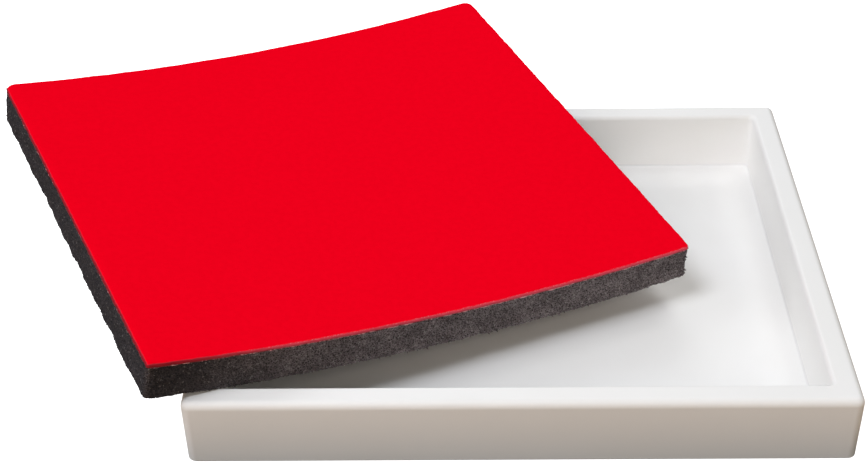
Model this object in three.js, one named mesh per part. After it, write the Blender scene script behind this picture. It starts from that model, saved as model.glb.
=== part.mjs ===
// An ink pad for large rubber stamps: a shallow white tray, and a felt-faced foam pad that lifts out of it.
// The pad lies askew over the tray's back and left rims, a little curled, as it does when it has been taken out.
// Millimetres and degrees. +X runs along the tray's long side, +Y to its back and +Z up, and the origin is
// the centre of the tray's underside.
import * as THREE from "three";

// Driving dimensions of the tray, whose width and depth are measured over its rim.
const TRAY_WIDTH = 165;
const TRAY_DEPTH = 147;
const TRAY_HEIGHT = 18.2;
const TRAY_WALL = 7;
const TRAY_FLOOR = 1;
const TRAY_DRAFT = 1.15;

// The tray's rounded edges.
const TRAY_CORNER_RADIUS = 2.3;
const POCKET_CORNER_RADIUS = 1.6;
const RIM_OUTER_RADIUS = 2;
const RIM_INNER_RADIUS = 1.4;
const FOOT_RADIUS = 0.4;
const POCKET_FILLET_RADIUS = 0.6;
const CORNER_STEPS = 6;
const EDGE_STEPS = 5;

// Driving dimensions of the pad, as it was cut. It is slightly larger than the tray's inside, so that it grips.
const PAD_WIDTH = 151.5;
const PAD_DEPTH = 136.5;
const FELT_THICKNESS = 1;
const BOND_THICKNESS = 0.2;
const FOAM_THICKNESS = 9.3;
const LAYER_GAP = 0.05;

// How the loose pad is bent: its ends rise, its front and back fall a little, and it is twisted.
const PAD_CURL = 4.35;
const PAD_ARCH = -0.2;
const PAD_TWIST = 1.5;
const PAD_STEPS_ACROSS = 24;
const PAD_STEPS_DEEP = 12;

// Where the loose pad lies: the centre of its felt, and its turns about Z, then Y, then X.
const PAD_CENTRE = new THREE.Vector3(-50.3, 19.1, 29.75);
const PAD_YAW = 26.2;
const PAD_ROLL = 3.4;
const PAD_PITCH = 5.35;

const TRAY_PLASTIC = new THREE.MeshStandardMaterial({
  color: 0xf0efed,
  roughness: 0.5,
  metalness: 0,
});
const FOAM = new THREE.MeshStandardMaterial({
  color: 0x3a393b,
  roughness: 1,
  metalness: 0,
});
const ADHESIVE = new THREE.MeshStandardMaterial({
  color: 0xc98f8f,
  roughness: 0.7,
  metalness: 0,
});
const FELT = new THREE.MeshStandardMaterial({
  color: 0xee0014,
  roughness: 0.95,
  metalness: 0,
});

/** A named mesh of one closed geometry. */
function piece(name, geometry, material) {
  geometry.computeVertexNormals();
  const mesh = new THREE.Mesh(geometry, material);
  mesh.name = name;
  return mesh;
}

/** The points of a rectangle with rounded corners, turning left, at one height. */
function ringPoints({ halfWidth, halfDepth, radius, z }) {
  const points = [];
  for (let corner = 0; corner < 4; corner++) {
    const towardsX = corner === 0 || corner === 3 ? 1 : -1;
    const towardsY = corner < 2 ? 1 : -1;
    for (let step = 0; step <= CORNER_STEPS; step++) {
      const angle = (corner + step / CORNER_STEPS) * (Math.PI / 2);
      const x = towardsX * (halfWidth - radius) + radius * Math.cos(angle);
      const y = towardsY * (halfDepth - radius) + radius * Math.sin(angle);
      points.push(new THREE.Vector3(x, y, z));
    }
  }
  return points;
}

/** A closed solid whose skin joins each ring to the next, with a flat lid on the first ring and the last. */
function ringSolid(rings) {
  const loops = rings.map(ringPoints);
  const count = loops[0].length;
  const positions = loops.flat().flatMap((point) => point.toArray());
  const index = [];
  for (let ring = 0; ring < rings.length - 1; ring++) {
    for (let i = 0; i < count; i++) {
      const low = ring * count + i;
      const lowNext = ring * count + ((i + 1) % count);
      index.push(low, lowNext, lowNext + count);
      index.push(low, lowNext + count, low + count);
    }
  }
  const lids = THREE.ShapeUtils.triangulateShape(loops[0], []);
  const last = (rings.length - 1) * count;
  for (const [a, b, c] of lids) {
    index.push(c, b, a);
    index.push(last + a, last + b, last + c);
  }
  const geometry = new THREE.BufferGeometry();
  geometry.setAttribute("position", new THREE.Float32BufferAttribute(positions, 3));
  geometry.setIndex(index);
  return geometry;
}

/**
 * The rings of the tray, from its underside up the outside, over the rim and down into the pocket.
 * A ring's inset is how far it lies inside the rim's widest outline, on every side.
 */
function trayRings() {
  const rings = [];
  const lean = Math.tan(THREE.MathUtils.degToRad(TRAY_DRAFT));
  const addRing = (inset, z, radius) =>
    rings.push({
      halfWidth: TRAY_WIDTH / 2 - inset,
      halfDepth: TRAY_DEPTH / 2 - inset,
      radius: Math.max(radius, 0.3),
      z,
    });
  const quarter = (addPoint) => {
    for (let step = 0; step <= EDGE_STEPS; step++) {
      const angle = (step / EDGE_STEPS) * (Math.PI / 2);
      addPoint(Math.sin(angle), Math.cos(angle));
    }
  };
  const outerInset = (z) => (TRAY_HEIGHT - RIM_OUTER_RADIUS - z) * lean;
  const pocketInset = (z) => TRAY_WALL + (TRAY_HEIGHT - RIM_INNER_RADIUS - z) * lean;
  const footInset = outerInset(FOOT_RADIUS);
  const filletTop = TRAY_FLOOR + POCKET_FILLET_RADIUS;

  quarter((sine, cosine) => {
    const inset = footInset + FOOT_RADIUS * (1 - sine);
    addRing(inset, FOOT_RADIUS * (1 - cosine), TRAY_CORNER_RADIUS - inset + footInset);
  });
  quarter((sine, cosine) => {
    const inset = RIM_OUTER_RADIUS * (1 - cosine);
    addRing(inset, TRAY_HEIGHT - RIM_OUTER_RADIUS * (1 - sine), TRAY_CORNER_RADIUS - inset);
  });
  quarter((sine, cosine) => {
    const inset = TRAY_WALL - RIM_INNER_RADIUS * (1 - sine);
    addRing(inset, TRAY_HEIGHT - RIM_INNER_RADIUS * (1 - cosine), POCKET_CORNER_RADIUS + TRAY_WALL - inset);
  });
  quarter((sine, cosine) => {
    const inset = pocketInset(filletTop) + POCKET_FILLET_RADIUS * (1 - cosine);
    const radius = POCKET_CORNER_RADIUS - POCKET_FILLET_RADIUS * (1 - cosine);
    addRing(inset, filletTop - POCKET_FILLET_RADIUS * sine, radius);
  });
  return rings;
}

/** The tray, moulded in one piece. */
function makeTray() {
  return piece("tray", ringSolid(trayRings()), TRAY_PLASTIC);
}

/** The loose pad's shape: the place of the point at x, y of the flat cut, at a height above the felt's top. */
function bentPoint(x, y, above) {
  const u = x / (PAD_WIDTH / 2);
  const v = y / (PAD_DEPTH / 2);
  const rise = PAD_CURL * (u * u - 1 / 3) + PAD_ARCH * (v * v - 1 / 3) + PAD_TWIST * u * v;
  const slopeX = (2 * PAD_CURL * u + PAD_TWIST * v) / (PAD_WIDTH / 2);
  const slopeY = (2 * PAD_ARCH * v + PAD_TWIST * u) / (PAD_DEPTH / 2);
  const normal = new THREE.Vector3(-slopeX, -slopeY, 1).normalize();
  return new THREE.Vector3(x, y, rise).addScaledVector(normal, above);
}

/** One layer of the pad, between two depths under the felt's top. */
function bentLayer(top, thickness) {
  const geometry = new THREE.BoxGeometry(
    PAD_WIDTH,
    PAD_DEPTH,
    thickness,
    PAD_STEPS_ACROSS,
    PAD_STEPS_DEEP,
    1,
  );
  const position = geometry.getAttribute("position");
  for (let i = 0; i < position.count; i++) {
    const above = position.getZ(i) - thickness / 2 - top;
    const bent = bentPoint(position.getX(i), position.getY(i), above);
    position.setXYZ(i, bent.x, bent.y, bent.z);
  }
  return geometry;
}

/** The pad: felt bonded to foam, in one group that places it over the tray. */
function makePad() {
  const bondTop = FELT_THICKNESS + LAYER_GAP;
  const foamTop = bondTop + BOND_THICKNESS + LAYER_GAP;
  const pad = new THREE.Group();
  pad.add(
    piece("felt_face", bentLayer(0, FELT_THICKNESS), FELT),
    piece("bond_film", bentLayer(bondTop, BOND_THICKNESS), ADHESIVE),
    piece("foam_core", bentLayer(foamTop, FOAM_THICKNESS), FOAM),
  );
  pad.position.copy(PAD_CENTRE);
  const [pitch, roll, yaw] = [PAD_PITCH, PAD_ROLL, PAD_YAW].map(THREE.MathUtils.degToRad);
  pad.rotation.set(pitch, roll, yaw, "ZYX");
  return pad;
}

const inkPad = new THREE.Group();
inkPad.add(makeTray(), makePad());

export default inkPad;
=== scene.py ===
"""An ink pad for large rubber stamps: a white moulded tray, and a felt-faced foam pad lying askew over it.

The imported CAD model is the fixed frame. Every piece here stands in the place of one of its nodes, with the
finer shape and the finish that the node leaves out. Lengths are metres and angles are degrees, unless a name
says otherwise. +X runs along the tray's long side, +Y to its back and +Z up.
"""

import logging
import math
from contextlib import contextmanager
from dataclasses import dataclass, field
from enum import Enum
from typing import Any, Callable, Iterator, Union

import bmesh
import bpy
import numpy as np
from mathutils import Matrix, Vector, noise

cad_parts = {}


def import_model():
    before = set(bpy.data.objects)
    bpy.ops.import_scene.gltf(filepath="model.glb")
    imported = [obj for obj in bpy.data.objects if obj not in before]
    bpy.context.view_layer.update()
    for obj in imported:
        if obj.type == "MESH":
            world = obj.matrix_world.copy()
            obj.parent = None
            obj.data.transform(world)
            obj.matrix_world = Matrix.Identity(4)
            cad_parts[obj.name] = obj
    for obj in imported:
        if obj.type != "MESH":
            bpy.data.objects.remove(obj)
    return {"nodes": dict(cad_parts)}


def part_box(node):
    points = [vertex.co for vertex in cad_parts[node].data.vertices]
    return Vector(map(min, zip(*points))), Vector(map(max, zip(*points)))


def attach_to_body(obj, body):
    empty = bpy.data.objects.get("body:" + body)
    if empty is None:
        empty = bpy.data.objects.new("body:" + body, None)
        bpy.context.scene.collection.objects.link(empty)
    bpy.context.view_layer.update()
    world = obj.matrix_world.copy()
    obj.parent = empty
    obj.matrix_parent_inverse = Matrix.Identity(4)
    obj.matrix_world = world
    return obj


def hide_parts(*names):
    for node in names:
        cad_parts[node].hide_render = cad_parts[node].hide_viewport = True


LOG = logging.getLogger("ink_pad")
MM = 0.001

Colour = tuple[float, float, float, float]


class Body(Enum):
    """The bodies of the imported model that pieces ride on."""

    TRAY = "tray"
    PAD = "pad"


class Slot(Enum):
    """The record's material slots."""

    TRAY_PLASTIC = "tray_plastic"
    FOAM = "foam"
    ADHESIVE = "adhesive"
    FELT = "felt"


class Corner(Enum):
    """A corner of the flat pad, by the signs of its X and Y."""

    FRONT_LEFT = (-1, -1)
    FRONT_RIGHT = (1, -1)
    BACK_RIGHT = (1, 1)
    BACK_LEFT = (-1, 1)


# Shader nodes


class Wire:
    """One output of a shader node, on which Python's operators grow Math nodes."""

    def __init__(self, graph: "Graph", socket: bpy.types.NodeSocket | None) -> None:
        """Keeps the node tree and the output.

        Args:
            graph: The tree that the output belongs to.
            socket: The output itself, or nothing for a node that has none.
        """
        self.graph = graph
        self.socket = socket

    def _math(self, operation: str, first: "Input", second: "Input") -> "Wire":
        """A Math node of one operation on two values."""
        return self.graph.node("ShaderNodeMath", {"operation": operation}, {0: first, 1: second})

    def __add__(self, other: "Input") -> "Wire":
        """The sum."""
        return self._math("ADD", self, other)

    def __radd__(self, other: "Input") -> "Wire":
        """The sum, from the right."""
        return self._math("ADD", other, self)

    def __sub__(self, other: "Input") -> "Wire":
        """The difference."""
        return self._math("SUBTRACT", self, other)

    def __rsub__(self, other: "Input") -> "Wire":
        """The difference, from the right."""
        return self._math("SUBTRACT", other, self)

    def __mul__(self, other: "Input") -> "Wire":
        """The product."""
        return self._math("MULTIPLY", self, other)

    def __rmul__(self, other: "Input") -> "Wire":
        """The product, from the right."""
        return self._math("MULTIPLY", other, self)


Input = Union[Wire, float, Colour, Vector]


class Graph:
    """A node tree of a material or of the world, grown by one method."""

    def __init__(self, tree: bpy.types.NodeTree) -> None:
        """Empties the tree.

        Args:
            tree: The node tree to grow.
        """
        self.tree = tree
        tree.nodes.clear()

    def node(
        self,
        kind: str,
        settings: dict[str, Any] | None = None,
        inputs: dict[str | int, Input] | None = None,
        output: str | int = 0,
    ) -> Wire:
        """Adds any node.

        Args:
            kind: The node's type.
            settings: Its properties. They are set first, because they change which inputs it has.
            inputs: The values or wires of its inputs, by name or by number.
            output: The output that is wanted, by name or by number.

        Returns:
            The output.
        """
        made = self.tree.nodes.new(kind)
        for name, value in (settings or {}).items():
            setattr(made, name, value)
        for key, value in (inputs or {}).items():
            if isinstance(value, Wire):
                self.tree.links.new(value.socket, made.inputs[key])
            else:
                made.inputs[key].default_value = value
        return Wire(self, made.outputs[output] if len(made.outputs) else None)

    def mix(self, share: Input, first: Input, second: Input) -> Wire:
        """A colour between two, by a share from 0 to 1."""
        return self.node("ShaderNodeMix", {"data_type": "RGBA"}, {0: share, 6: first, 7: second}, 2)

    def between(self, value: Input, low: float, high: float, to_low: float, to_high: float) -> Wire:
        """A value carried smoothly from one range to another, and held at its ends."""
        return self.node(
            "ShaderNodeMapRange",
            {"interpolation_type": "SMOOTHSTEP"},
            {0: value, 1: low, 2: high, 3: to_low, 4: to_high},
        )

    def noise(self, place: Input, size: float, detail: float = 2, roughness: float = 0.5) -> Wire:
        """Cloudy noise from 0 to 1, whose blotches are about as wide as size."""
        inputs = {"Vector": place, "Scale": 1 / size, "Detail": detail, "Roughness": roughness}
        return self.node("ShaderNodeTexNoise", {"noise_dimensions": "3D"}, inputs)

    def cells(self, place: Input, size: float, feature: str = "F1", output: str = "Distance") -> Wire:
        """A Voronoi pattern, whose cells are about as wide as size."""
        inputs = {"Vector": place, "Scale": 1 / size, "Randomness": 1.0}
        return self.node("ShaderNodeTexVoronoi", {"feature": feature}, inputs, output)

    def place(self) -> Wire:
        """The object's own coordinates, in metres."""
        return self.node("ShaderNodeTexCoord", output="Object")

    def attribute(self, name: str) -> Wire:
        """A number that the mesh holds at each vertex."""
        return self.node("ShaderNodeAttribute", {"attribute_name": name}, output="Fac")

    def bump(self, height: Input, depth: float, strength: float = 1) -> Wire:
        """A bump, whose height of 1 stands for a depth in metres."""
        inputs = {"Height": height, "Distance": depth, "Strength": strength}
        return self.node("ShaderNodeBump", inputs=inputs)

    def surface(self, inputs: dict[str | int, Input]) -> None:
        """Ends a material in a Principled shader with these inputs."""
        shader = self.node("ShaderNodeBsdfPrincipled", inputs=inputs)
        self.node("ShaderNodeOutputMaterial", inputs={"Surface": shader})


def new_graph(name: str) -> tuple[bpy.types.Material, Graph]:
    """Makes a material that has no nodes yet.

    Args:
        name: The material's name.

    Returns:
        The material, and its empty node tree.
    """
    material = bpy.data.materials.new(name)
    material.use_nodes = True
    return material, Graph(material.node_tree)


@dataclass(frozen=True)
class MouldedPlastic:
    """White moulded plastic with a fine spark-eroded grain, and painted shade in its creases."""

    colour: Colour = (0.96, 0.95, 0.93, 1)
    shade: Colour = (0.94, 0.929, 0.905, 1)
    # Painted shade in the creases.
    crease_shade: Colour = (0.84, 0.83, 0.815, 1)
    roughness: float = 0.46
    grain: float = 0.35 * MM
    grain_depth: float = 0.006 * MM
    blotch: float = 28 * MM

    def material(self) -> bpy.types.Material:
        """Makes the finish.

        Returns:
            The material.
        """
        material, graph = new_graph("moulded_plastic")
        place = graph.place()
        blotches = graph.noise(place, self.blotch, 3)
        grain = graph.noise(place, self.grain, 3, 0.6)
        swirl = graph.noise(place, self.blotch / 4, 2)
        share = graph.between(blotches, 0.35, 0.65, 0, 0.7) + grain * 0.25
        roughness = self.roughness - 0.05 + grain * 0.1 + swirl * 0.06
        normal = graph.bump(grain, self.grain_depth)
        # Painted shade in the fillet round the pocket's floor, patchy with the blotches.
        crease = graph.attribute("crease") * (0.5 + blotches * 0.7)
        graph.surface(
            {
                "Base Color": graph.mix(crease, graph.mix(share, self.colour, self.shade), self.crease_shade),
                "Roughness": roughness,
                "Normal": normal,
                "IOR": 1.46,
            }
        )
        return material


@dataclass(frozen=True)
class OpenCellFoam:
    """Dark grey open-cell foam: pale struts round pores that are painted dark as shade, where the slab was
    cut.

    The mesh says where a pore is open, where more shade is painted, how near a point lies to the left end,
    where shade is painted too, and how near it lies to an upright corner, where a highlight is painted.
    """

    strut: Colour = (0.322, 0.274, 0.282, 1)
    # Painted shade inside the pores.
    pore: Colour = (0.006, 0.005, 0.005, 1)
    # Painted shade towards the pad's left end.
    left_end_shade: Colour = (0.017, 0.019, 0.024, 1)
    glint: Colour = (0.6, 0.57, 0.56, 1)
    cell: float = 0.66 * MM
    depth: float = 0.25 * MM
    blotch: float = 6 * MM

    def material(self) -> bpy.types.Material:
        """Makes the finish.

        Returns:
            The material.
        """
        material, graph = new_graph("open_cell_foam")
        place = graph.place()
        warp = graph.noise(place, self.cell * 1.7, 1)
        inner = graph.cells(place, self.cell, "DISTANCE_TO_EDGE")
        small = graph.cells(place, self.cell * 0.6, "DISTANCE_TO_EDGE")
        wall = graph.between(inner, 0.02, 0.3, 1, 0)
        fine = graph.between(small, 0.02, 0.3, 1, 0)
        # Painted shade: the struts are darker where the mesh's pores are open.
        solid = 1 - graph.attribute("pore")
        near_left_end = graph.attribute("near_left_end")
        # A painted highlight on the rounded upright corners.
        corner_highlight = graph.attribute("corner_highlight")
        struts = (wall * 0.5 + fine * 0.5) * (0.35 + solid * 0.65)
        blotches = graph.noise(place, self.blotch, 3)
        struts = struts * graph.between(blotches, 0.3, 0.7, 0.75, 1.12) * (0.6 + warp * 0.8)
        spark = graph.cells(place, self.cell * 0.65, "F1", "Color")
        glints = graph.between(spark, 0.82, 0.88, 0, 0.3) * (0.3 + fine * 0.7) * (1 - near_left_end * 0.45)
        colour = graph.mix(struts * (1 - near_left_end * 0.55), self.pore, self.strut)
        # Paints shade towards the left end, lifted near the corners by a painted highlight.
        colour = graph.mix(near_left_end * (0.6 - corner_highlight * 0.5), colour, self.left_end_shade)
        colour = graph.mix(glints, colour, self.glint)
        height = wall * 0.7 + fine * 0.3
        graph.surface(
            {
                "Base Color": colour,
                "Roughness": 0.85 + warp * 0.12,
                "Normal": graph.bump(height, self.depth, 0.7),
                "Specular IOR Level": 0.12,
            }
        )
        return material


@dataclass(frozen=True)
class InkedFelt:
    """Felt full of red ink. Its cut sides are paler, and darker lower down, and a painted highlight runs
    along their upper edge.

    The mesh says how far down the felt a point lies, from 0 on its face to 1 on its underside, and how near
    it lies to the pad's left end, where its sides are painted darker as shade.
    """

    colour: Colour = (0.968, 0.0003, 0.0128, 1)
    deep: Colour = (0.918, 0.0002, 0.011, 1)
    side: Colour = (0.82, 0.07, 0.11, 1)
    low: Colour = (0.55, 0.085, 0.11, 1)
    # Pale fibres and a painted highlight along the shoulder.
    pale: Colour = (0.9, 0.36, 0.4, 1)
    # Painted shade on the sides towards the pad's left end.
    left_end_shade: Colour = (0.3, 0.012, 0.02, 1)
    fibre: float = 0.28 * MM
    cloud: float = 34 * MM
    depth: float = 0.05 * MM

    def material(self) -> bpy.types.Material:
        """Makes the finish.

        Returns:
            The material.
        """
        material, graph = new_graph("inked_felt")
        place = graph.place()
        fibres = graph.noise(place, self.fibre, 4, 0.7)
        tufts = graph.noise(place, self.fibre * 6, 3, 0.55)
        clouds = graph.noise(place, self.cloud, 2)
        strands = graph.cells(place, self.fibre * 2.2, "DISTANCE_TO_EDGE")
        share = graph.between(tufts, 0.35, 0.65, 0, 0.5) + fibres * 0.25 + clouds * 0.25
        colour = graph.mix(share, self.colour, self.deep)
        down = graph.attribute("down") + (fibres - 0.5) * 0.25
        colour = graph.mix(graph.between(down, 0.03, 0.3, 0, 1), colour, self.side)
        colour = graph.mix(graph.between(down, 0.4, 0.95, 0, 1), colour, self.low)
        shoulder = graph.between(down, 0.04, 0.16, 0, 1) * graph.between(down, 0.25, 0.4, 1, 0)
        near_left_end = graph.attribute("near_left_end")
        # Pale loose fibres along the shoulder, partly a painted highlight where light catches the fuzz.
        loose = graph.between(fibres, 0.5, 0.64, 0, 0.5) * shoulder * (1 - near_left_end)
        colour = graph.mix(loose, colour, self.pale)
        # Paints shade on the sides towards the pad's left end.
        colour = graph.mix(near_left_end * graph.between(down, 0.02, 0.3, 0, 0.9), colour, self.left_end_shade)
        height = fibres * 0.5 + tufts * 0.35 + graph.between(strands, 0, 0.25, 0.15, 0)
        graph.surface(
            {
                "Base Color": colour,
                "Roughness": 0.9 + fibres * 0.1,
                "Normal": graph.bump(height, self.depth, 0.6),
                "Specular IOR Level": 0.0,
            }
        )
        return material


@dataclass(frozen=True)
class DriedAdhesive:
    """Pink laminating adhesive with dark stains, which shows as a broken line."""

    colour: Colour = (0.72, 0.36, 0.37, 1)
    stain: Colour = (0.16, 0.045, 0.05, 1)
    bead: float = 0.8 * MM
    depth: float = 0.08 * MM

    def material(self) -> bpy.types.Material:
        """Makes the finish.

        Returns:
            The material.
        """
        material, graph = new_graph("dried_adhesive")
        place = graph.place()
        beads = graph.noise(place, self.bead, 3, 0.6)
        long_beads = graph.noise(place, self.bead * 7, 2)
        # More of the dark colour towards the pad's left end, as painted shade.
        glue = beads * 0.6 + long_beads * 0.4 - graph.attribute("near_left_end") * 0.08
        share = graph.between(glue, 0.45, 0.56, 0, 1)
        graph.surface(
            {
                "Base Color": graph.mix(share, self.stain, self.colour),
                "Roughness": 0.6 + beads * 0.25,
                "Normal": graph.bump(beads, self.depth),
                "Specular IOR Level": 0.3,
            }
        )
        return material


# Modelling by hand


def deselect_all() -> None:
    """Leaves no object selected."""
    for item in bpy.context.selected_objects:
        item.select_set(False)


def select_only(piece: bpy.types.Object) -> None:
    """Selects one object, and makes it the active one."""
    deselect_all()
    piece.select_set(True)
    bpy.context.view_layer.objects.active = piece


def name_new(name: str) -> bpy.types.Object:
    """Names the object that an operator has just added, and applies its place to its mesh.

    Args:
        name: The name of the object and of its mesh.

    Returns:
        The object.
    """
    piece = bpy.context.active_object
    piece.name = name
    piece.data.name = name
    bpy.ops.object.transform_apply(location=True, rotation=True, scale=True)
    return piece


@contextmanager
def editing(piece: bpy.types.Object) -> Iterator[None]:
    """Opens one piece in edit mode for the lines under it.

    Args:
        piece: The mesh object to edit.
    """
    select_only(piece)
    bpy.ops.object.mode_set(mode="EDIT")
    bpy.ops.mesh.select_all(action="DESELECT")
    yield
    bpy.ops.object.mode_set(mode="OBJECT")


def pick_edges(piece: bpy.types.Object, wanted: Callable[[Vector, Vector], bool]) -> None:
    """Selects the edges whose two ends pass a test, and nothing else, in edit mode.

    Args:
        piece: The mesh object.
        wanted: The test of an edge's two ends.
    """
    bpy.ops.mesh.select_mode(type="EDGE")
    bpy.ops.mesh.select_all(action="DESELECT")
    cage = bmesh.from_edit_mesh(piece.data)
    for edge in cage.edges:
        edge.select_set(wanted(edge.verts[0].co, edge.verts[1].co))
    bmesh.update_edit_mesh(piece.data)


def pick_faces(piece: bpy.types.Object, wanted: Callable[[Vector, Vector], bool]) -> None:
    """Selects the faces whose centre and normal pass a test, and nothing else, in edit mode.

    Args:
        piece: The mesh object.
        wanted: The test of a face's centre and normal.
    """
    bpy.ops.mesh.select_mode(type="FACE")
    bpy.ops.mesh.select_all(action="DESELECT")
    cage = bmesh.from_edit_mesh(piece.data)
    for face in cage.faces:
        face.select_set(wanted(face.calc_center_median(), face.normal))
    bmesh.update_edit_mesh(piece.data)


def round_edges(
    piece: bpy.types.Object,
    radius: float,
    steps: int,
    wanted: Callable[[Vector, Vector], bool],
) -> None:
    """Rounds the edges that pass a test, in edit mode.

    Args:
        piece: The mesh object.
        radius: The radius of the rounding.
        steps: How many facets it has.
        wanted: The test of an edge's two ends.
    """
    pick_edges(piece, wanted)
    bpy.ops.mesh.bevel(
        offset_type="OFFSET",
        offset=radius,
        segments=steps,
        affect="EDGES",
        clamp_overlap=True,
    )


def shade_smooth(piece: bpy.types.Object) -> None:
    """Shades a piece smooth all over."""
    select_only(piece)
    bpy.ops.object.shade_smooth()


def smooth_with_flat_faces(piece: bpy.types.Object) -> None:
    """Shades a piece smooth, with its large faces kept flat up to their rounded edges.

    Args:
        piece: The mesh object.
    """
    shade_smooth(piece)
    weighting = piece.modifiers.new("flat_faces", "WEIGHTED_NORMAL")
    weighting.keep_sharp = True
    bpy.ops.object.modifier_apply(modifier=weighting.name)


def points_of(piece: bpy.types.Object) -> np.ndarray:
    """Reads the places of a piece's vertices.

    Args:
        piece: The mesh object.

    Returns:
        One row for each vertex.
    """
    places = np.zeros(len(piece.data.vertices) * 3)
    piece.data.vertices.foreach_get("co", places)
    return places.reshape(-1, 3)


def set_points(piece: bpy.types.Object, places: np.ndarray) -> None:
    """Moves a piece's vertices."""
    piece.data.vertices.foreach_set("co", places.astype(np.float32).ravel())
    piece.data.update()


def set_attribute(piece: bpy.types.Object, name: str, values: np.ndarray) -> None:
    """Writes one number for each vertex, which a material can read."""
    layer = piece.data.attributes.new(name, "FLOAT", "POINT")
    layer.data.foreach_set("value", values.astype(np.float32))


def ramp(values: np.ndarray, low: float, high: float) -> np.ndarray:
    """Carries values smoothly from 0 at low to 1 at high."""
    share = np.clip((values - low) / (high - low), 0, 1)
    return share * share * (3 - 2 * share)


def attach(piece: bpy.types.Object, material: bpy.types.Material, body: Body, node: str) -> None:
    """Dresses a finished piece, and gives it its body and the CAD node that it stands for.

    Args:
        piece: The finished piece.
        material: Its finish.
        body: The body that it moves with.
        node: The CAD node that it stands for.
    """
    piece.data.materials.clear()
    piece.data.materials.append(material)
    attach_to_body(piece, body.value)
    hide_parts(node)
    LOG.info("%s: %d faces, rides on %s", piece.name, len(piece.data.polygons), body.value)


# The tray


@dataclass
class Tray:
    """The moulded tray: a block that is hollowed to a thin floor, with every edge rounded.

    Attributes:
        low: The lowest corner of its box.
        high: The highest corner of its box.
        wall: The wall's thickness at the rim.
        draft: How far its sides lean, which makes it narrower towards its foot, inside and out.
        edge_steps: How many facets round its upright corners and its rim.
        foot_steps: How many facets round its foot and its pocket's fillet.
        near: How close to a level or an outline a point counts as being on it.
    """

    low: Vector
    high: Vector
    wall: float = 7 * MM
    floor: float = 1 * MM
    draft: float = 1.15
    corner_radius: float = 2.3 * MM
    pocket_corner_radius: float = 1.6 * MM
    rim_outer_radius: float = 2.0 * MM
    rim_inner_radius: float = 1.4 * MM
    foot_radius: float = 0.4 * MM
    pocket_fillet: float = 0.6 * MM
    edge_steps: int = 8
    foot_steps: int = 4
    near: float = 0.01 * MM
    finish: MouldedPlastic = field(default_factory=MouldedPlastic)

    def build(self) -> bpy.types.Object:
        """Models the tray and dresses it.

        Returns:
            The tray.
        """
        size = self.high - self.low
        middle = (self.low + self.high) / 2
        tray = self._block("tray_shell", size, middle, self.corner_radius)
        self._trim(tray, self.rim_outer_radius, self.foot_radius)
        sunk = Vector((2 * self.wall, 2 * self.wall, self.floor))
        raised = middle + Vector((0, 0, self.floor / 2))
        pocket = self._block("pocket", size - sunk, raised, self.pocket_corner_radius)
        self._trim(pocket, 0, self.pocket_fillet)
        self._join(tray, pocket)
        smooth_with_flat_faces(tray)
        self._mark_crease(tray)
        attach(tray, self.finish.material(), Body.TRAY, "tray")
        return tray

    def _block(self, name: str, size: Vector, middle: Vector, corner_radius: float) -> bpy.types.Object:
        """Models a block with rounded upright corners, which the draft makes narrower at its foot.

        Args:
            name: The block's name.
            size: Its size at its top.
            middle: Its centre.
            corner_radius: The radius of its upright corners.

        Returns:
            The block.
        """
        deselect_all()
        bpy.ops.mesh.primitive_cube_add(size=1, location=middle, scale=size)
        block = name_new(name)
        inset = size.z * math.tan(math.radians(self.draft))
        with editing(block):
            pick_faces(block, lambda centre, normal: normal.z < -0.9)
            bpy.ops.transform.resize(value=(1 - 2 * inset / size.x, 1 - 2 * inset / size.y, 1))
            round_edges(block, corner_radius, self.edge_steps, lambda a, b: abs(a.z - b.z) > size.z / 2)
        return block

    def _trim(self, block: bpy.types.Object, top_radius: float, foot_radius: float) -> None:
        """Rounds a block's two level outlines and takes its top face off.

        Args:
            block: The block.
            top_radius: The radius of its upper outline, or 0 to leave that sharp.
            foot_radius: The radius of its lower outline.
        """
        foot = min(point[2] for point in points_of(block)) + self.near
        with editing(block):
            if top_radius:
                round_edges(block, top_radius, self.edge_steps, self._on_top)
            round_edges(block, foot_radius, self.foot_steps, lambda a, b: max(a.z, b.z) < foot)
            pick_faces(block, lambda centre, normal: centre.z > self.high.z - self.near)
            bpy.ops.mesh.delete(type="FACE")

    def _on_top(self, a: Vector, b: Vector) -> bool:
        """Whether two points are both at the level of the rim."""
        return min(a.z, b.z) > self.high.z - self.near

    def _on_mouth(self, a: Vector, b: Vector) -> bool:
        """Whether two points are both on the inner outline of the flat rim."""
        reach = (self.high - self.low) / 2
        mouth = Vector((reach.x - self.wall + self.near, reach.y - self.wall + self.near))
        return self._on_top(a, b) and all(abs(spot.x) < mouth.x and abs(spot.y) < mouth.y for spot in (a, b))

    def _join(self, tray: bpy.types.Object, pocket: bpy.types.Object) -> None:
        """Joins the outside to the pocket by a flat rim, and rounds the rim's inner edge.

        Args:
            tray: The outside, which becomes the whole tray.
            pocket: The pocket, which is used up.
        """
        with editing(pocket):
            bpy.ops.mesh.select_all(action="SELECT")
            bpy.ops.mesh.flip_normals()
        select_only(tray)
        pocket.select_set(True)
        bpy.ops.object.join()
        with editing(tray):
            pick_edges(tray, self._on_top)
            bpy.ops.mesh.bridge_edge_loops()
            bpy.ops.mesh.select_all(action="SELECT")
            bpy.ops.mesh.normals_make_consistent(inside=False)
            round_edges(tray, self.rim_inner_radius, self.edge_steps, self._on_mouth)

    def _mark_crease(self, tray: bpy.types.Object) -> None:
        """Marks the middle of the fillet round the pocket's floor, where shade is painted into the colour.

        Args:
            tray: The whole tray.
        """
        points = points_of(tray)
        near = 2 * self.near
        level = points[:, 2] - self.low.z - self.floor
        half_width = self.high.x - self.wall
        half_depth = self.high.y - self.wall
        in_pocket = (abs(points[:, 0]) < half_width) & (abs(points[:, 1]) < half_depth)
        set_attribute(tray, "crease", in_pocket & (level > near) & (level < self.pocket_fillet - near))


# The pad


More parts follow.
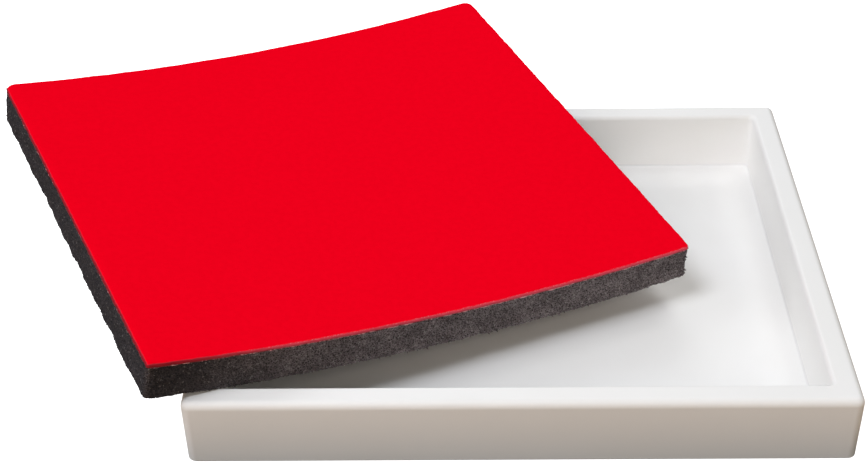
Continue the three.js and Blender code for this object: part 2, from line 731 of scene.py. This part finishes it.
@dataclass(frozen=True)
class PadShape:
    """How the loose pad is cut, bent and laid over the tray. A flat pad has its felt's top at height 0.

    Attributes:
        width: Its width, as it was cut.
        depth: Its depth, as it was cut.
        cell: The width of the faces on the top and underside of each layer.
        edge_steps: How many facets round a layer's corners and shoulder.
        near: How close to a corner an edge's end counts as being at it, seen from above.
        curl: How far its ends rise above its middle.
        arch: How far its front and back rise above its middle. Below 0, they fall.
        twist: How far its front-left and back-right corners rise, and the other two fall.
        centre: Where the centre of its felt lies.
        yaw: Its turn about Z.
        roll: Its turn about Y.
        pitch: Its turn about X.
        sway_width: How far inside the outline points are drawn along when it wanders.
        left_fade_start: How far from the left end the shade painted there begins to fade.
        left_fade_end: How far from the left end none of it is left.
    """

    width: float = 151.5 * MM
    depth: float = 136.5 * MM
    cell: float = 3.03 * MM
    edge_steps: int = 4
    near: float = 0.1 * MM
    curl: float = 4.35 * MM
    arch: float = -0.2 * MM
    twist: float = 1.5 * MM
    centre: Vector = Vector((-50.3, 19.1, 29.75)) * MM
    yaw: float = 26.2
    roll: float = 3.4
    pitch: float = 5.35
    sway_width: float = 3 * MM
    left_fade_start: float = 4 * MM
    left_fade_end: float = 42 * MM

    def lay(self, piece: bpy.types.Object) -> None:
        """Bends a flat piece of the pad and carries it to its place.

        Args:
            piece: The piece, modelled flat about the pad's centre.
        """
        flat = points_of(piece)
        u = flat[:, 0] / (self.width / 2)
        v = flat[:, 1] / (self.depth / 2)
        rise = self.curl * (u * u - 1 / 3) + self.arch * (v * v - 1 / 3) + self.twist * u * v
        slope_x = (2 * self.curl * u + self.twist * v) / (self.width / 2)
        slope_y = (2 * self.arch * v + self.twist * u) / (self.depth / 2)
        normal = np.stack([-slope_x, -slope_y, np.ones_like(u)], axis=1)
        normal /= np.linalg.norm(normal, axis=1)[:, None]
        bent = np.stack([flat[:, 0], flat[:, 1], rise], axis=1) + normal * flat[:, 2:]
        set_points(piece, bent @ np.array(self.turn()).T + np.array(self.centre))

    def turn(self) -> Matrix:
        """The pad's turn, by its pitch first, then its roll and then its yaw."""
        yaw, roll, pitch = (math.radians(angle) for angle in (self.yaw, self.roll, self.pitch))
        return Matrix.Rotation(yaw, 3, "Z") @ Matrix.Rotation(roll, 3, "Y") @ Matrix.Rotation(pitch, 3, "X")

    def slab(
        self,
        name: str,
        top: float,
        thickness: float,
        corners: dict[Corner, float],
        rows: int,
        side_cuts: int,
        shoulder: float = 0,
    ) -> bpy.types.Object:
        """Models one flat layer of the pad, with finer faces round its sides than on its top.

        Args:
            name: The piece's name.
            top: How far its top lies under the felt's top.
            thickness: Its thickness.
            corners: The radius of each corner, seen from above. None is more than the width of a cell.
            rows: How many rows of cells its sides have before they are divided.
            side_cuts: How many cuts divide each cell of its sides.
            shoulder: The radius that its upper edge is rounded by.

        Returns:
            The layer, flat.
        """
        deselect_all()
        bpy.ops.mesh.primitive_grid_add(
            x_subdivisions=round(self.width / self.cell),
            y_subdivisions=round(self.depth / self.cell),
            size=1,
            location=(0, 0, -top),
        )
        bpy.context.active_object.scale = (self.width, self.depth, 1)
        layer = name_new(name)
        with editing(layer):
            bpy.ops.mesh.select_all(action="SELECT")
            bpy.ops.mesh.extrude_region_move(TRANSFORM_OT_translate={"value": (0, 0, -thickness)})
            bpy.ops.mesh.select_all(action="SELECT")
            bpy.ops.mesh.normals_make_consistent(inside=False)
            for corner, radius in corners.items():
                at_x, at_y = corner.value
                spot = Vector((at_x * self.width / 2, at_y * self.depth / 2))
                round_edges(
                    layer,
                    radius,
                    self.edge_steps,
                    lambda a, b: all((point.xy - spot).length < self.near for point in (a, b)),
                )
            if shoulder:
                pick_faces(layer, lambda centre, normal: normal.z > 0.9)
                bpy.ops.mesh.region_to_loop()
                bpy.ops.mesh.bevel(
                    offset_type="OFFSET",
                    offset=shoulder,
                    segments=self.edge_steps,
                    affect="EDGES",
                )
            for row in range(1, rows):
                bpy.ops.mesh.select_all(action="SELECT")
                cut = (0, 0, -top - thickness * row / rows)
                bpy.ops.mesh.bisect(plane_co=cut, plane_no=(0, 0, 1))
            pick_faces(layer, lambda centre, normal: abs(normal.z) < 0.99)
            bpy.ops.mesh.subdivide(number_cuts=side_cuts, ngon=False, quadcorner="INNERVERT")
        return layer

    def sway(self, flat: np.ndarray, wave: float, reach: float) -> None:
        """Lets the outline of a flat layer wander, and draws the points close to it along.

        Args:
            flat: The layer's points, which are moved.
            wave: The length of the wander's waves.
            reach: About how far it goes to each side.
        """
        for axis, half in ((0, self.width / 2), (1, self.depth / 2)):
            hold = 1 - ramp(half - abs(flat[:, axis]), 0, self.sway_width)
            for i in np.flatnonzero(hold):
                level = Vector((flat[i][0], flat[i][1], 0))
                drift = noise.fractal(level / wave, 0.9, 2.0, 2)
                flat[i][axis] += math.copysign(reach * drift * hold[i], flat[i][axis])

    def left_end_share(self, flat: np.ndarray) -> np.ndarray:
        """How near each flat point lies to the left end, from 1 along it to 0 far from it, for the shade
        painted there.
        """
        left = -self.width / 2
        return 1 - ramp(flat[:, 0], left + self.left_fade_start, left + self.left_fade_end)

    def to_corner(self, flat: np.ndarray) -> np.ndarray:
        """How far each flat point lies from the nearest upright corner, seen from above."""
        return np.hypot(self.width / 2 - abs(flat[:, 0]), self.depth / 2 - abs(flat[:, 1]))

    @staticmethod
    def outwards(layer: bpy.types.Object) -> np.ndarray:
        """Finds which way a layer's sides face.

        Args:
            layer: The layer, flat.

        Returns:
            A level direction of length 1 for each vertex of the sides, and of length 0 for every other one.
        """
        normals = np.zeros(len(layer.data.vertices) * 3)
        layer.data.vertices.foreach_get("normal", normals)
        level = normals.reshape(-1, 3)
        level[:, 2] = 0
        length = np.linalg.norm(level, axis=1)
        on_side = length > 0.4
        level[on_side] /= length[on_side][:, None]
        level[~on_side] = 0
        return level


@dataclass
class FoamCore:
    """The foam slab, whose cut sides are rough with real pores.

    Attributes:
        shape: How the whole pad is cut and bent.
        top: How far its top lies under the felt's top.
        thickness: Its thickness.
        pore: The width of its pores.
        pore_depth: How deep an open pore is.
        wave: The length of the waves that its cut line wanders in.
        wave_depth: About how far it wanders.
        strand: The size of a cell of noise, in which struts stand out together or not at all.
        strand_level: The level of cell noise above which a strut stands out.
        strand_length: How far the longest loose strut stands out.
        corner_highlight_start: How far from an upright corner its painted highlight begins to fade.
        corner_highlight_end: How far from an upright corner there is no painted highlight.
    """

    shape: PadShape
    top: float = 1.3 * MM
    thickness: float = 9.3 * MM
    pore: float = 0.7 * MM
    pore_depth: float = 0.25 * MM
    wave: float = 6 * MM
    wave_depth: float = 0.3 * MM
    strand: float = 0.25 * MM
    strand_level: float = 0.89
    strand_length: float = 0.85 * MM
    corner_highlight_start: float = 0.4 * MM
    corner_highlight_end: float = 2.2 * MM
    finish: OpenCellFoam = field(default_factory=OpenCellFoam)

    def build(self) -> bpy.types.Object:
        """Models the foam and dresses it.

        Returns:
            The foam.
        """
        corners = {
            Corner.FRONT_LEFT: 1.7 * MM,
            Corner.FRONT_RIGHT: 1.2 * MM,
            Corner.BACK_RIGHT: 2.6 * MM,
            Corner.BACK_LEFT: 2.8 * MM,
        }
        foam = self.shape.slab("foam_slab", self.top, self.thickness, corners, 3, 9)
        self._roughen(foam)
        self.shape.lay(foam)
        shade_smooth(foam)
        attach(foam, self.finish.material(), Body.PAD, "foam_core")
        return foam

    def _roughen(self, foam: bpy.types.Object) -> None:
        """Sinks pores into the sides, and lets their cut line wander and a few struts stand out.

        Args:
            foam: The foam, flat.
        """
        flat = points_of(foam)
        out = self.shape.outwards(foam)
        pores = np.zeros(len(flat))
        # Nearness to the left end: it roughens the cut more there, and the material paints shade by it.
        near_left_end = self.shape.left_end_share(flat)
        for i in np.flatnonzero(out.any(axis=1)):
            place = Vector(flat[i])
            distances, _ = noise.voronoi(place / self.pore)
            hollow = min((distances[1] - distances[0]) / 0.5, 1)
            pores[i] = hollow
            wander = noise.fractal(place / self.wave, 0.9, 2.0, 3)
            loose = max(noise.cell(place / self.strand) - self.strand_level, 0) / (1 - self.strand_level)
            reach = self.wave_depth * wander * (1 + 0.3 * near_left_end[i]) - self.pore_depth * hollow
            reach += self.strand_length * loose * (1 - 0.7 * near_left_end[i])
            flat[i] += out[i] * reach
        set_attribute(foam, "pore", pores)
        set_attribute(foam, "near_left_end", near_left_end)
        # Nearness to an upright corner, where the material paints a highlight.
        set_attribute(foam, "corner_highlight", 1 - ramp(self.shape.to_corner(flat), self.corner_highlight_start, self.corner_highlight_end))
        set_points(foam, flat)


@dataclass
class AdhesiveFilm:
    """The film of adhesive between felt and foam, whose edge wanders in and out of sight.

    Attributes:
        shape: How the whole pad is cut and bent.
        top: How far its top lies under the felt's top.
        thickness: Its thickness.
        corner_radius: The radius of its corners, seen from above.
        wave: The length of the waves that its edge wanders in.
        reach: About how far it wanders.
    """

    shape: PadShape
    top: float = 1.05 * MM
    thickness: float = 0.2 * MM
    corner_radius: float = 1.5 * MM
    wave: float = 2.2 * MM
    reach: float = 0.3 * MM
    finish: DriedAdhesive = field(default_factory=DriedAdhesive)

    def build(self) -> bpy.types.Object:
        """Models the film and dresses it.

        Returns:
            The film.
        """
        corners = {corner: self.corner_radius for corner in Corner}
        film = self.shape.slab("adhesive_film", self.top, self.thickness, corners, 1, 5)
        flat = points_of(film)
        out = self.shape.outwards(film)
        for i in np.flatnonzero(out.any(axis=1)):
            level = Vector((flat[i][0], flat[i][1], 0))
            wander = noise.fractal(level / self.wave, 0.7, 2.0, 3)
            flat[i] += out[i] * self.reach * (wander + 0.1)
        set_attribute(film, "near_left_end", self.shape.left_end_share(flat))
        set_points(film, flat)
        self.shape.lay(film)
        smooth_with_flat_faces(film)
        attach(film, self.finish.material(), Body.PAD, "bond_film")
        return film


@dataclass
class FeltFace:
    """The felt that a stamp is pressed on, with soft rounded edges.

    Attributes:
        shape: How the whole pad is cut and bent.
        thickness: Its thickness.
        shoulder: The radius that its upper edge is rounded by.
        sway_wave: The length of the waves that its outline wanders in.
        sway_reach: About how far its outline wanders.
        fray_wave: The width of the tufts on its cut sides.
        fray_reach: About how far they stand out.
        swell_wave: The width of the swells of its face.
        swell_reach: About how high they rise.
    """

    shape: PadShape
    thickness: float = 1 * MM
    shoulder: float = 0.55 * MM
    sway_wave: float = 11 * MM
    sway_reach: float = 0.22 * MM
    fray_wave: float = 1.3 * MM
    fray_reach: float = 0.13 * MM
    swell_wave: float = 16 * MM
    swell_reach: float = 0.05 * MM
    finish: InkedFelt = field(default_factory=InkedFelt)

    def build(self, foam: bpy.types.Object) -> bpy.types.Object:
        """Models the felt and dresses it.

        Args:
            foam: The foam that the felt is bonded to. It is not used.

        Returns:
            The felt.
        """
        corners = {
            Corner.FRONT_LEFT: 0.5 * MM,
            Corner.FRONT_RIGHT: 0.9 * MM,
            Corner.BACK_RIGHT: 2.6 * MM,
            Corner.BACK_LEFT: 2.9 * MM,
        }
        felt = self.shape.slab("felt_sheet", 0, self.thickness, corners, 1, 5, self.shoulder)
        self._soften(felt)
        self.shape.lay(felt)
        shade_smooth(felt)
        attach(felt, self.finish.material(), Body.PAD, "felt_face")
        return felt

    def _soften(self, felt: bpy.types.Object) -> None:
        """Frays the felt's sides, lets its outline wander and lets its face rise and fall a little.

        Args:
            felt: The felt, flat.
        """
        flat = points_of(felt)
        out = self.shape.outwards(felt)
        down = -flat[:, 2] / self.thickness
        self.shape.sway(flat, self.sway_wave, self.sway_reach)
        for i, point in enumerate(flat):
            place = Vector(point)
            if out[i].any():
                fray = noise.fractal(place / self.fray_wave, 0.8, 2.0, 3)
                flat[i] += out[i] * self.fray_reach * fray
            if down[i] < 0.5:
                swell = noise.fractal(place / self.swell_wave, 0.9, 2.0, 3)
                flat[i][2] += self.swell_reach * swell
        set_attribute(felt, "down", down)
        set_attribute(felt, "near_left_end", self.shape.left_end_share(flat))
        set_points(felt, flat)


@dataclass
class InkPad:
    """The loose pad: foam, adhesive and felt, bonded in one."""

    shape: PadShape = field(default_factory=PadShape)

    def build(self) -> None:
        """Models the three layers from the lowest up."""
        foam = FoamCore(self.shape).build()
        AdhesiveFilm(self.shape).build()
        FeltFace(self.shape).build(foam)


# The studio


@dataclass(frozen=True)
class Softbox:
    """A square soft light that faces the object.

    Attributes:
        name: The light's name.
        place: Its centre.
        size: Its width.
        power: Its power in watts.
        colour: Its colour.
    """

    name: str
    place: tuple[float, float, float]
    size: float
    power: float
    colour: tuple[float, float, float] = (1, 1, 1)

    def hang(self) -> None:
        """Adds the light."""
        data = bpy.data.lights.new(self.name, "AREA")
        data.shape = "SQUARE"
        data.size = self.size
        data.energy = self.power
        data.color = self.colour
        light = bpy.data.objects.new(self.name, data)
        light.location = self.place
        light.rotation_euler = (-Vector(self.place)).to_track_quat("-Z", "Y").to_euler()
        bpy.context.scene.collection.objects.link(light)


SOFTBOXES = (
    Softbox("front_left_key", (-0.42, -0.42, 1.04), 0.45, 7.0, (0.88, 0.92, 1)),
    Softbox("back_right_key", (0.42, 0.42, 1.04), 0.45, 2.8, (0.98, 1, 1)),
    Softbox("right_light", (1.0, 0.1, 1.0), 1.2, 1.1, (0.85, 0.87, 1)),
    Softbox("low_left_light", (-1.04, 0, 0.6), 0.6, 3.85, (0.95, 0.96, 1)),
    Softbox("low_front_left_light", (-0.8, -0.67, 0.6), 0.6, 0.7, (1, 0.88, 0.6)),
    Softbox("low_front_light", (0, -1.04, 0.6), 0.6, 2.72, (1, 0.88, 0.81)),
    Softbox("low_front_right_light", (0.8, -0.67, 0.6), 0.6, 1.25, (1, 0.96, 0.75)),
    Softbox("low_back_light", (0, 1.04, 0.6), 0.6, 2.5),
)


@dataclass
class Studio:
    """The camera, the floor and the soft light round the object.

    Attributes:
        camera_place: The camera's place.
        camera_pitch: How far it looks down.
        camera_yaw: How far it is turned to its right.
        camera_roll: How far it is rolled to its left.
        lens_mm: Its focal length, in millimetres.
        shift: How far its view is shifted to the right and up, as shares of the picture's width.
        floor_width: The width of the white floor.
        floor_drop: How far the floor lies under the object.
        card_width: The outer width of the grey card.
        card_hole: Half the width of the square hole in the card.
        card_drop: How far the card lies under the object.
    """

    camera_place: Vector = field(default_factory=lambda: Vector((-13.18, -384.57, 268.97)) * MM)
    camera_pitch: float = 34.484
    camera_yaw: float = -1.285
    camera_roll: float = -1.122
    lens_mm: float = 68.97
    shift: tuple[float, float] = (-0.0014, 0.0483)
    floor_width: float = 12.0
    floor_drop: float = 0.1 * MM
    card_width: float = 3.0
    card_hole: float = 0.092
    card_drop: float = 0.2 * MM

    def build(self) -> None:
        """Sets the whole studio up."""
        self._camera()
        self._floor()
        self._surroundings()
        for softbox in SOFTBOXES:
            softbox.hang()
        bpy.context.scene.view_settings.view_transform = "Standard"

    def _camera(self) -> None:
        """Puts the camera at its place, turned down, aside and a little over."""
        data = bpy.data.cameras.new("camera")
        data.lens = self.lens_mm
        data.shift_x, data.shift_y = self.shift
        data.clip_start, data.clip_end = 0.01, 50
        camera = bpy.data.objects.new("camera", data)
        bpy.context.scene.collection.objects.link(camera)
        aside = Matrix.Rotation(math.radians(-self.camera_yaw), 3, "Z")
        down = Matrix.Rotation(math.radians(90 - self.camera_pitch), 3, "X")
        over = Matrix.Rotation(math.radians(self.camera_roll), 3, "Z")
        camera.rotation_euler = (aside @ down @ over).to_euler()
        camera.location = self.camera_place
        bpy.context.scene.camera = camera

    def _floor(self) -> None:
        """Lays a white floor that only the camera sees."""
        deselect_all()
        bpy.ops.mesh.primitive_plane_add(size=self.floor_width, location=(0, 0, -self.floor_drop))
        floor = name_new("floor")
        material, graph = new_graph("white_floor")
        graph.surface(
            {"Base Color": (0.9, 0.9, 0.9, 1), "Emission Color": (1, 1, 1, 1), "Emission Strength": 0.96}
        )
        floor.data.materials.append(material)
        floor.visible_diffuse = False
        floor.visible_glossy = False
        floor.visible_shadow = False
        self._card()

    def _card(self) -> bpy.types.Object:
        """Cuts a frame of warm grey card, which lies round the object and throws a little light back up.

        Returns:
            The card, which the camera doesn't see.
        """
        deselect_all()
        bpy.ops.mesh.primitive_plane_add(size=1, location=(0, 0, -self.card_drop))
        bpy.context.active_object.scale = (self.card_width, self.card_width, 1)
        card = name_new("grey_card")
        with editing(card):
            pick_faces(card, lambda centre, normal: True)
            bpy.ops.mesh.inset(thickness=self.card_width / 2 - self.card_hole, depth=0)
            bpy.ops.mesh.delete(type="FACE")
        material, graph = new_graph("warm_grey_card")
        graph.surface({"Base Color": (0.5, 0.36, 0.25, 1), "Roughness": 1.0, "Specular IOR Level": 0.0})
        card.data.materials.append(material)
        card.visible_camera = False
        return card

    def _surroundings(self) -> None:
        """Surrounds the object with plain white, which lights nothing."""
        world = bpy.data.worlds.new("white_surroundings")
        bpy.context.scene.world = world
        world.use_nodes = True
        graph = Graph(world.node_tree)
        white = graph.node("ShaderNodeBackground", inputs={"Color": (1, 1, 1, 1), "Strength": 1.0})
        graph.node("ShaderNodeOutputWorld", inputs={"Surface": white})
        rays = world.cycles_visibility
        rays.diffuse = rays.glossy = rays.transmission = rays.scatter = False


def main() -> None:
    """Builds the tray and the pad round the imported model, and then the studio."""
    logging.basicConfig(level=logging.INFO, format="%(name)s: %(message)s")
    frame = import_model()
    LOG.info("the packed model has %d nodes", len(frame["nodes"]))
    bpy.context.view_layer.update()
    Tray(*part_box("tray")).build()
    InkPad().build()
    Studio().build()


if __name__ == "__main__":
    main()
